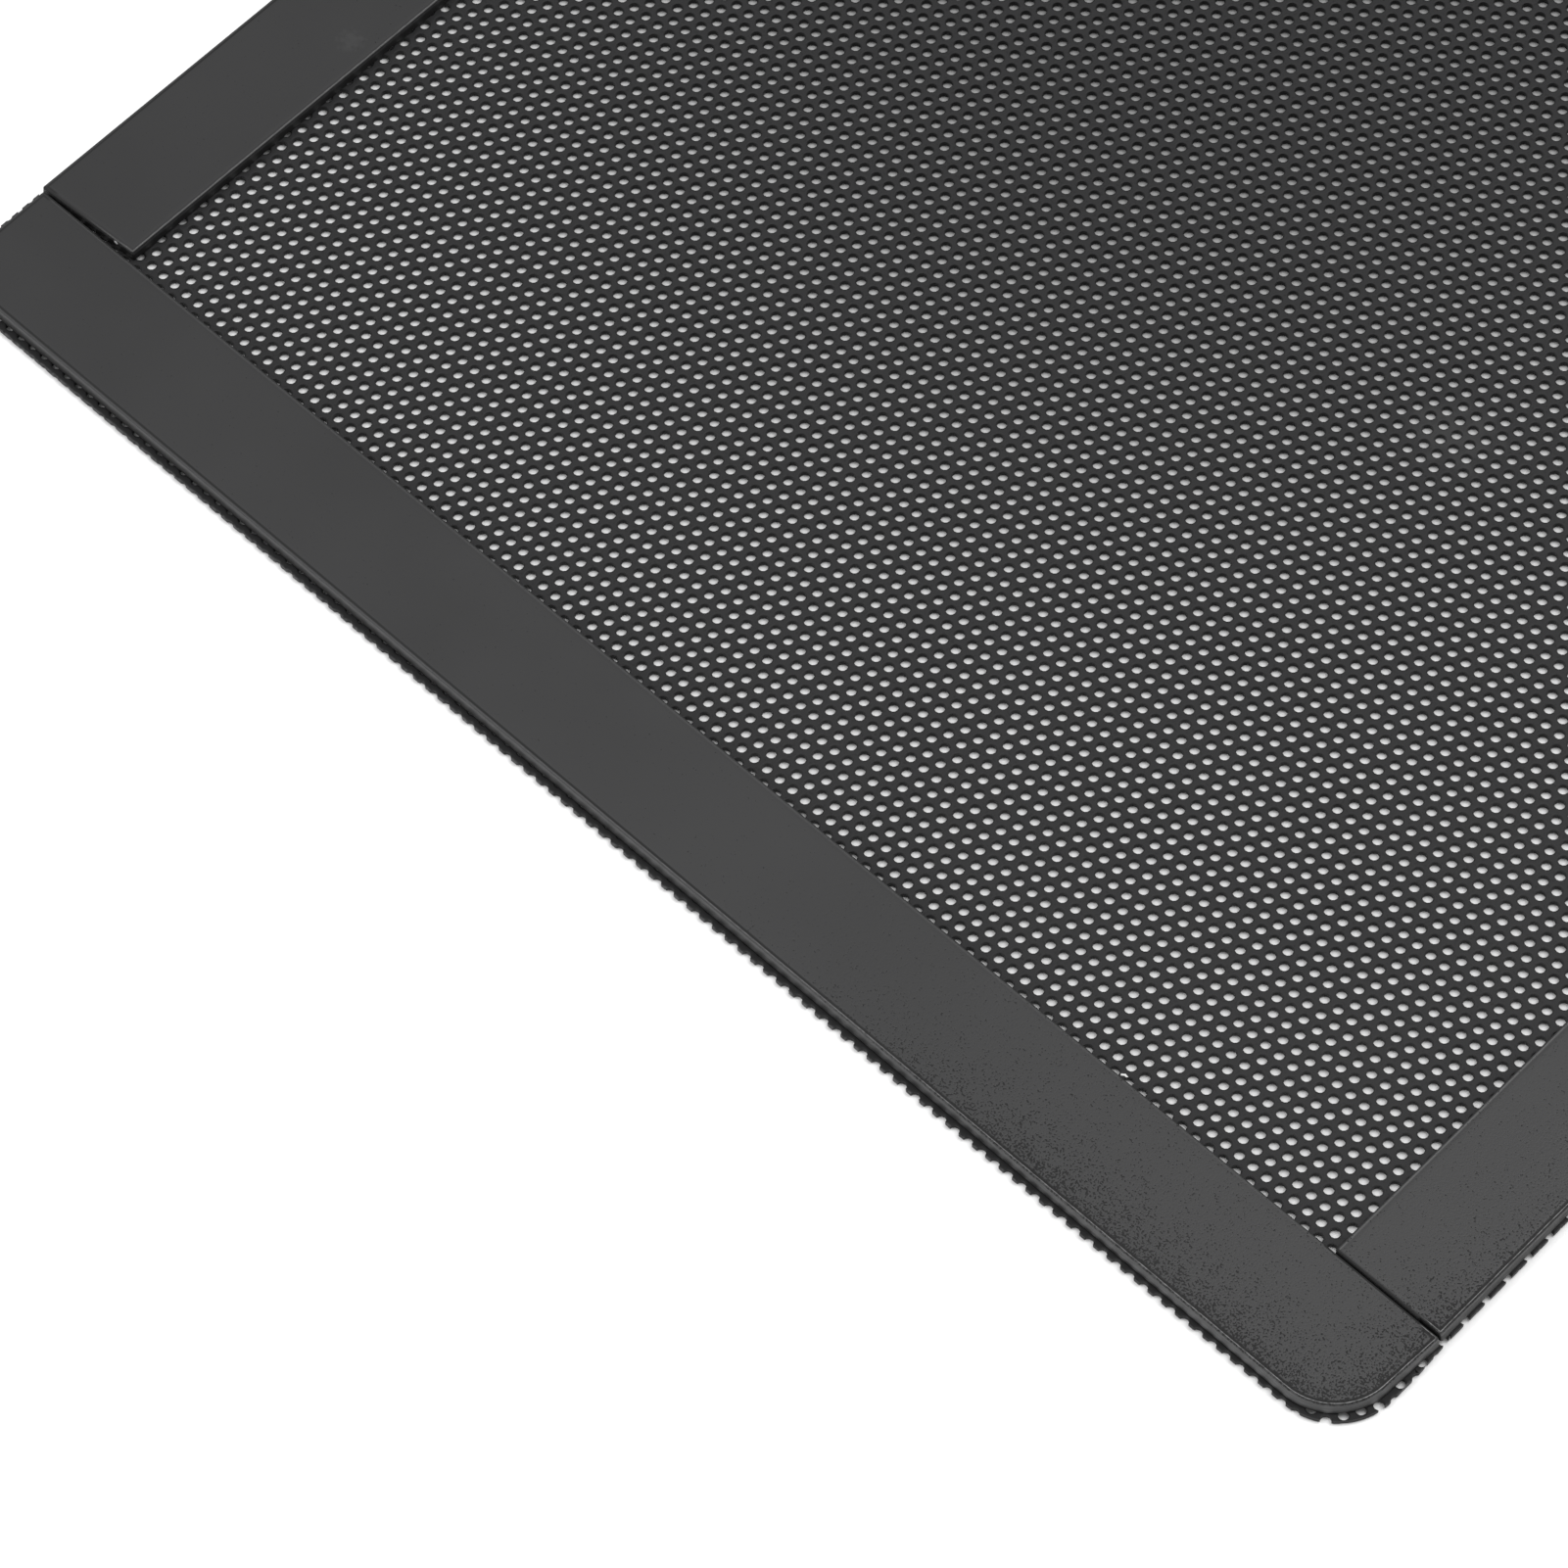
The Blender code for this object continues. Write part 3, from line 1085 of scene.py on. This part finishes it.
@dataclass(frozen=True)
class SlitFerrite:
    """Finish of the magnet's cut wall: matt grey with faint drag lines of the blade, darkened
    with painted shade from the foot up, and one white painted spot of light in the left joint,
    standing in for the lit table seen through a hole."""

    colour: Colour = (0.047, 0.047, 0.048)
    dark_colour: Colour = (0.039, 0.039, 0.0395)
    foot_shade_colour: Colour = (0.004, 0.004, 0.004)
    light_spot_colour: Colour = (0.95, 0.95, 0.95)
    roughness: Point = (0.58, 0.45)
    drag_stretch: Place = (0.08, 0.08, 1.0)
    drag_scale: float = 9000.0
    drag_range: Point = (0.35, 0.65)
    drag_share: float = 0.6
    grain_size: float = 0.25
    relief: float = 0.01
    relief_strength: float = 0.4
    foot_shade_height: Fade = Fade(30.0, 60.0, 1.05 * MM, 0.6 * MM)
    foot_shade_behind: Fade = Fade(-64.0, -60.0, 0.0, 1.1 * MM)
    foot_shade_softness: Point = (0.2, 0.1)
    ragged_scale: float = 900.0
    ragged_height: float = 0.3
    light_spot: Place = (-61.76, -59.23, 1.24)
    light_spot_edge: Fade = Fade(0.16, 0.22, 1.0, 0.0)

    def material(self, effects: Effects) -> bpy.types.Material:
        """Build the wall's material.

        Args:
            effects: The shared effects.

        Returns:
            The material.
        """
        wall = Surface("slit_ferrite", effects)
        drag = wall.add("ShaderNodeMapping")
        drag.inputs["Scale"].default_value = self.drag_stretch
        wall.feed(drag.inputs["Vector"], wall.place)
        lines = wall.noise(drag.outputs[0], self.drag_scale, OCTAVES)
        colour = wall.blend(wall.span(lines, *self.drag_range), self.dark_colour, self.colour)
        colour = wall.coats(colour, (
            # Painted shade on the wall, from its foot up.
            (self.painted_foot_shade(wall), 0.9, self.foot_shade_colour),
            # Painted white spot of light in the left joint, for the lit table seen through a
            # hole.
            (wall.fade(wall.away(self.light_spot), self.light_spot_edge), 1.0, self.light_spot_colour),
        ))
        wall.paint(colour, wall.span(lines, *NOISE_RANGE, *self.roughness))
        grain = wall.grain(self.grain_size)
        height = wall.math("ADD", wall.math("MULTIPLY", lines, self.drag_share),
                           wall.math("MULTIPLY", grain["Height"], 1.0 - self.drag_share))
        wall.bump(height, self.relief_strength, self.relief)
        return wall.material

    def painted_foot_shade(self, wall: Surface) -> Socket:
        """Mask the painted shade, which stands high at the left and behind the front strip.

        Args:
            wall: The wall's surface.

        Returns:
            The mask.
        """
        parts = wall.split(wall.place)
        ragged = wall.math("MULTIPLY", wall.noise(wall.place, self.ragged_scale, OCTAVES),
                           self.ragged_height * MM)
        up = wall.math("SUBTRACT", parts["Z"], ragged)
        height = wall.math("MAXIMUM", wall.fade(parts["X"], self.foot_shade_height),
                           wall.fade(parts["Y"], self.foot_shade_behind))
        below, above = metres(*self.foot_shade_softness)
        return wall.span(up, wall.math("SUBTRACT", height, below),
                         wall.math("ADD", height, above), 1.0, 0.0)


@dataclass(frozen=True)
class TransferTape:
    """Finish of the adhesive under a strip: dark, dull and a little uneven."""

    colour: Colour = (0.016, 0.0155, 0.015)
    roughness: Point = (0.6, 0.8)
    patch_scale: float = 700.0
    patch_gain: float = 2.0

    def material(self, effects: Effects) -> bpy.types.Material:
        """Build the tape's material.

        Args:
            effects: The shared effects.

        Returns:
            The material.
        """
        tape = Surface("transfer_tape", effects)
        patches = tape.noise(tape.place, self.patch_scale, OCTAVES)
        tape.paint(tape.mottle(patches, 1.0, self.colour, self.patch_gain),
                   tape.span(patches, *NOISE_RANGE, *self.roughness))
        return tape.material


# The filter's own pieces


class Side(Enum):
    """Which side of the film a strip lies on."""

    FRONT = "front"
    REAR = "rear"
    LEFT = "left"
    RIGHT = "right"


@dataclass
class PunchedSheet:
    """The film with its holes in staggered rows, made as bands of whole rows.

    The rows are turned a little against the film's edges, as the sheet was cut from a
    roll, so the edges run through the holes and leave a toothed outline.
    """

    pitch: float = 1.25
    hole_diameter: float = 0.8
    hole_sides: int = 12
    corner_radius: float = 4.9
    corner_steps: int = 20
    turn: float = 0.0033
    phase: Point = (51.18, -51.565)
    rows_in_band: int = 22
    first_row: int = -18
    bands: int = 6
    first_column: int = -99
    columns: int = 118
    draw_in: float = 0.26
    draw_in_from: float = 34.0
    bulge: float = 0.19
    bulge_length: float = 8.0
    bulge_fade: float = 3.3
    smooth_angle: float = 40.0

    def build(self, material: bpy.types.Material) -> list[bpy.types.Object]:
        """Make, trim and dress every band.

        Args:
            material: The film's finish.

        Returns:
            The bands, front to rear.
        """
        low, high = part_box("mesh_sheet")
        outline = self.outline(low, high)
        pieces = []
        for band in range(self.bands):
            piece = self.tile(self.first_row + band * self.rows_in_band, high.z)
            piece.name = piece.data.name = f"punched_film_{band + 1}"
            self.trim(piece, outline, high.z)
            self.pare(piece, low, high)
            self.thicken(piece, high.z - low.z)
            shade(piece, self.smooth_angle)
            piece.data.materials.append(material)
            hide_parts("mesh_sheet")
            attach(piece, BODY)
            pieces.append(piece)
            LOG.info("%s: %d faces", piece.name, len(piece.data.polygons))
        return pieces

    def outline(self, low: Vector, high: Vector) -> list[Point]:
        """Outline of the film, its front edge drawn in a little towards the right corner.

        Args:
            low: The film's least corner in metres.
            high: Its greatest corner.

        Returns:
            Points anticlockwise in millimetres.
        """
        left, front = low.x / MM, low.y / MM
        right, rear = high.x / MM, high.y / MM
        radius = self.corner_radius
        plan = PlatePlan([
            PlanCorner(left, front, radius),
            PlanCorner(self.draw_in_from, front, 0.0),
            PlanCorner(right, front + self.draw_in, radius + self.draw_in),
            PlanCorner(right, rear, radius),
            PlanCorner(left, rear, radius),
        ], large_steps=self.corner_steps)
        return plan.ring()

    def tile(self, first_row: int, height: float) -> bpy.types.Object:
        """Make one six-sided cell with its hole, and repeat it over a band of rows.

        Args:
            first_row: Number of the band's first row.
            height: Height of the film's top in metres.

        Returns:
            The band, still flat and untrimmed.
        """
        deselect_all()
        place = (0.0, 0.0, height)
        bpy.ops.mesh.primitive_circle_add(
            vertices=self.hole_sides, radius=self.hole_diameter / 2 * MM,
            fill_type="NOTHING", location=place,
        )
        piece = bpy.context.active_object
        with editing(piece):
            bpy.ops.mesh.primitive_circle_add(
                vertices=6, radius=self.pitch / math.sqrt(3) * MM,
                fill_type="NOTHING", location=place,
            )
            bpy.ops.mesh.select_all(action="SELECT")
            bpy.ops.mesh.fill(use_beauty=True)
        along = self.pitch * MM
        up = self.pitch * math.sqrt(3) / 2 * MM
        repeat(piece, self.columns, Vector((along, 0.0, 0.0)))
        repeat(piece, 2, Vector((along / 2, up, 0.0)))
        repeat(piece, self.rows_in_band // 2, Vector((0.0, 2 * up, 0.0)))
        piece.location.x = self.first_column * along
        piece.location.y = first_row * up
        settle(piece)
        piece.rotation_euler.z = self.turn
        piece.location = metres(*self.phase, 0.0)
        settle(piece)
        return piece

    def trim(self, piece: bpy.types.Object, outline: Sequence[Point], height: float) -> None:
        """Cut a band along each edge of the outline that crosses it.

        Args:
            piece: The flat band.
            outline: The film's outline in millimetres.
            height: Height of the band in metres.
        """
        for start, end in zip(outline, [*outline[1:], outline[0]]):
            away = Vector((end[1] - start[1], start[0] - end[0], 0.0)).normalized()
            on = Vector((*metres(*start), height))
            spread = [Vector(corner) for corner in piece.bound_box]
            if max((corner - on).dot(away) for corner in spread) < LEAST_CUT:
                continue
            with editing(piece):
                bpy.ops.mesh.select_all(action="SELECT")
                cut_away(on, away)
            bpy.context.view_layer.update()

    def pare(self, piece: bpy.types.Object, low: Vector, high: Vector) -> None:
        """Cut back the right edge, which stands out only by the front corner.

        Args:
            piece: The flat band.
            low: The film's least corner in metres.
            high: Its greatest corner.
        """
        start = low.y + self.bulge_length * MM
        end = start + self.bulge_fade * MM
        back = high.x - self.bulge * MM
        slope = Vector((self.bulge_fade, self.bulge, 0.0)).normalized()
        level = Vector((1.0, 0.0, 0.0))
        for first, last, on, away in (
            (start, end, Vector((high.x, start, high.z)), slope),
            (end, math.inf, Vector((back, end, high.z)), level),
        ):
            with editing(piece) as shape:
                beside = [face for face in shape.faces
                          if first < face.calc_center_median().y < last
                          and any(v.co.x > back - self.pitch * MM for v in face.verts)]
                for face in beside:
                    face.select = True
                if beside:
                    cut_away(on, away)

    def thicken(self, piece: bpy.types.Object, thickness: float) -> None:
        """Extrude a band down to the film's underside.

        Args:
            piece: The flat band.
            thickness: The film's thickness in metres.
        """
        with editing(piece):
            bpy.ops.mesh.select_all(action="SELECT")
            bpy.ops.mesh.extrude_region_move(
                TRANSFORM_OT_translate={"value": (0.0, 0.0, -thickness)}
            )
            bpy.ops.mesh.select_all(action="SELECT")
            bpy.ops.mesh.normals_make_consistent(inside=False)


@dataclass
class MagnetStrip:
    """One strip: its ferrite core and its grained vinyl face with a rolled rim.

    Each groove ring gives its inset from the rolled rim, its share of the groove's depth
    and its line.
    """

    side: Side
    outer_radius: float = 5.0
    cut_radius: float = 0.15
    wall_lean: float = 0.14
    foot_bevel: float = 0.03
    belly_height: float = 0.5
    belly_lean: float = 0.35
    rim: float = 0.14
    rim_steps: int = 5
    rim_line: float = 0.5
    groove_depth: float = 0.02
    groove_rings: Sequence[Place] = (
        (0.03, 0.1, 0.5), (0.07, 0.75, -1.0), (0.14, 1.0, -1.0), (0.20, 0.8, -0.9),
        (0.28, 0.5, 0.0), (0.42, 0.4, 0.0), (0.7, 0.4, 0.0),
    )
    front_taper: float = 0.2
    end_flare: float = 0.46
    joint_wedge: float = 0.55
    strip_lean: float = 0.9
    nick_length: float = 2.0
    nick_depth: float = 0.12
    nick_slope: float = 0.06
    smooth_angle: float = 35.0

    def node(self, part: str) -> str:
        """Name of one of the strip's CAD nodes."""
        return f"{self.side.value}_{part}"

    def plan(self) -> PlatePlan:
        """Lay out the strip's foot, from the place of its magnet.

        Returns:
            The plan.
        """
        low, high = (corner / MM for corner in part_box(self.node("magnet")))
        outer, cut = self.outer_radius, self.cut_radius
        if self.side is Side.FRONT:
            corners = [
                PlanCorner(low.x, low.y, outer, True),
                PlanCorner(high.x - self.end_flare, low.y, outer, True),
                PlanCorner(high.x, high.y, cut),
                PlanCorner(low.x, high.y - self.front_taper, cut, True),
            ]
        elif self.side is Side.REAR:
            corners = [
                PlanCorner(low.x, low.y, cut),
                PlanCorner(high.x, low.y, cut, True),
                PlanCorner(high.x, high.y, outer, True),
                PlanCorner(low.x, high.y, outer, True),
            ]
        elif self.side is Side.LEFT:
            corners = [
                PlanCorner(low.x, low.y, cut),
                PlanCorner(high.x - self.strip_lean, low.y + self.joint_wedge, cut),
                PlanCorner(high.x, high.y, cut),
                PlanCorner(low.x + self.strip_lean, high.y, cut, True),
            ]
        else:
            nick = high.x - self.nick_length
            corners = [
                PlanCorner(low.x, low.y, cut),
                PlanCorner(nick, low.y, 0.0),
                PlanCorner(nick + self.nick_slope, low.y + self.nick_depth, 0.0),
                PlanCorner(high.x, low.y + self.nick_depth, cut, True),
                PlanCorner(high.x, high.y, cut),
                PlanCorner(low.x, high.y, cut),
            ]
        return PlatePlan(corners)

    def build(self, face: bpy.types.Material, ferrite: bpy.types.Material,
              tape: bpy.types.Material) -> list[bpy.types.Object]:
        """Make the core and the face, and dress the adhesive.

        Args:
            face: Finish of the vinyl face.
            ferrite: Finish of the core.
            tape: Finish of the adhesive.

        Returns:
            The two new pieces.
        """
        plan = self.plan()
        core = self.core(plan, ferrite)
        skin = self.skin(plan, face)
        adhesive = frame["nodes"][self.node("adhesive")]
        adhesive.data.materials.clear()
        adhesive.data.materials.append(tape)
        return [core, skin]

    def core(self, plan: PlatePlan, material: bpy.types.Material) -> bpy.types.Object:
        """Make the ferrite core, whose outer walls lean in.

        Args:
            plan: The strip's plan.
            material: The core's finish.

        Returns:
            The core.
        """
        low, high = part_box(self.node("magnet"))
        bottom, top = low.z / MM, high.z / MM
        layers = [
            Layer(self.foot_bevel, 0.0, bottom),
            Layer(0.0, 0.0, bottom + self.foot_bevel),
            Layer(0.0, self.wall_lean * self.belly_lean,
                  bottom + (top - bottom) * self.belly_height),
            Layer(0.0, self.wall_lean, top),
        ]
        piece = raise_plate(self.node("ferrite_core"), plan, layers)
        return self.finish(piece, material, "magnet")

    def skin(self, plan: PlatePlan, material: bpy.types.Material) -> bpy.types.Object:
        """Make the vinyl face: a rolled rim, a fine groove inside it, and the flat.

        Args:
            plan: The strip's plan.
            material: The face's finish.

        Returns:
            The face.
        """
        low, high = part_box(self.node("vinyl_face"))
        bottom, top = low.z / MM, high.z / MM
        lean, rim = self.wall_lean, self.rim
        layers = [Layer(0.0, lean, bottom)]
        # The rings' lines tell the face's finish where to paint a highlight (the rim's top) and
        # shade (the groove).
        for step in range(self.rim_steps + 1):
            angle = math.pi / 2 * step / self.rim_steps
            layers.append(Layer(rim * (1 - math.cos(angle)), lean,
                                top - rim * (1 - math.sin(angle)),
                                1.0 if step == self.rim_steps else self.rim_line))
        for inset, drop, line in self.groove_rings:
            layers.append(Layer(rim + inset, lean, top - self.groove_depth * drop, line))
        piece = raise_plate(self.node("grained_face"), plan, layers)
        return self.finish(piece, material, "vinyl_face")

    def finish(self, piece: bpy.types.Object, material: bpy.types.Material,
               part: str) -> bpy.types.Object:
        """Shade and dress a piece, and let it stand for its CAD node.

        Args:
            piece: The new piece.
            material: Its finish.
            part: What the node's name says after the side.

        Returns:
            The same piece.
        """
        shade(piece, self.smooth_angle)
        piece.data.materials.append(material)
        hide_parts(self.node(part))
        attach(piece, BODY)
        LOG.info("%s: %d faces", piece.name, len(piece.data.polygons))
        return piece


# The studio


@dataclass(frozen=True)
class Softbox:
    """A square lamp: where it hangs in metres, its side in metres and its watts."""

    name: str
    place: Place
    size: float
    power: float

    def hang(self) -> None:
        """Hang the lamp, facing the middle of the table."""
        deselect_all()
        bpy.ops.object.light_add(type="AREA", location=self.place)
        lamp = bpy.context.active_object
        lamp.name = self.name
        lamp.data.shape = "SQUARE"
        lamp.data.size = self.size
        lamp.data.energy = self.power
        lamp.rotation_euler = (-Vector(self.place)).to_track_quat("-Z", "Y").to_euler()


@dataclass
class Studio:
    """A white table, soft light and a camera at the front right with a long lens."""

    floor_size: float = 4.0
    floor_gap: float = 0.16
    floor_colour: Colour = (0.9, 0.9, 0.9)
    floor_gain: float = 1.01
    floor_scale: float = 3.0
    floor_roughness: float = 0.9
    floor_gloss: float = 0.1
    shade: float = 0.4
    shade_centre: Point = (-22.0, 22.0)
    shade_reach: Fade = Fade(15.0, 82.0, 1.0, 0.0)
    shade_edge: Fade = Fade(1.0, 8.0)
    shade_half_size: Point = (70.0, 70.0)
    shade_corner_radius: float = 5.0
    sky_colour: Colour = (1.0, 1.0, 1.0)
    sky_strength: float = 0.5
    lamps: Sequence[Softbox] = (
        Softbox("right_softbox", (0.28, 0.28, 1.1), 0.7, 9.0),
        Softbox("left_softbox", (-0.45, -0.45, 1.1), 0.6, 4.5),
        Softbox("low_front_fill", (-0.25, -1.3, 0.55), 0.6, 5.0),
    )
    camera_place: Place = (0.181443, -0.215830, 0.411224)
    camera_turn: Place = (29.7215, 2.2075, 44.1034)
    camera_lens: float = 153.40
    camera_sensor: float = 36.0
    camera_clip: Point = (0.01, 20.0)

    def build(self, effects: Effects) -> None:
        """Set the table, the lights and the camera.

        Args:
            effects: The shared effects.
        """
        self.floor(effects)
        self.sky()
        for lamp in self.lamps:
            lamp.hang()
        self.camera()
        bpy.context.scene.view_settings.view_transform = "Standard"

    def floor(self, effects: Effects) -> None:
        """Set the table, a little shaded under the middle of the film.

        Args:
            effects: The shared effects.
        """
        deselect_all()
        bpy.ops.mesh.primitive_plane_add(
            size=self.floor_size, location=metres(0.0, 0.0, -self.floor_gap)
        )
        table = bpy.context.active_object
        table.name = "table"
        settle(table)
        paper = Surface("white_table", effects)
        pale = paper.mottle(paper.noise(paper.place, self.floor_scale), 1.0,
                            self.floor_colour, self.floor_gain)
        away = paper.away((*self.shade_centre, 0.0))
        depth = paper.inside(self.shade_half_size, self.shade_corner_radius)
        share = paper.math("MULTIPLY", paper.fade(away, self.shade_reach),
                           paper.fade(depth, self.shade_edge))
        shaded = tuple(each * self.shade for each in self.floor_colour)
        paper.paint(paper.blend(share, pale, shaded), self.floor_roughness, self.floor_gloss)
        table.data.materials.append(paper.material)

    def sky(self) -> None:
        """Light the scene evenly from all round."""
        world = bpy.data.worlds.new("studio")
        world.use_nodes = True
        back = world.node_tree.nodes["Background"]
        back.inputs["Color"].default_value = (*self.sky_colour, 1.0)
        back.inputs["Strength"].default_value = self.sky_strength
        bpy.context.scene.world = world

    def camera(self) -> None:
        """Set up the camera, which looks down from the front right."""
        deselect_all()
        turn = tuple(math.radians(angle) for angle in self.camera_turn)
        bpy.ops.object.camera_add(location=self.camera_place, rotation=turn)
        camera = bpy.context.active_object
        camera.name = "camera"
        camera.data.lens = self.camera_lens
        camera.data.sensor_width = self.camera_sensor
        camera.data.clip_start, camera.data.clip_end = self.camera_clip
        bpy.context.scene.camera = camera


def main() -> None:
    """Build the filter and the studio."""
    logging.basicConfig(level=logging.INFO, format="%(message)s")
    effects = Effects()
    Studio().build(effects)
    sheet = PunchedSheet()
    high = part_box("mesh_sheet")[1] / MM
    film = PunchedFilm(sheet.turn, sheet.phase, sheet.pitch, sheet.hole_diameter / 2,
                       (high.x, high.y), sheet.corner_radius)
    sheet.build(film.material(effects))
    face = GrainedVinyl().material(effects)
    ferrite = SlitFerrite().material(effects)
    tape = TransferTape().material(effects)
    for side in Side:
        MagnetStrip(side).build(face, ferrite, tape)


if __name__ == "__main__":
    main()
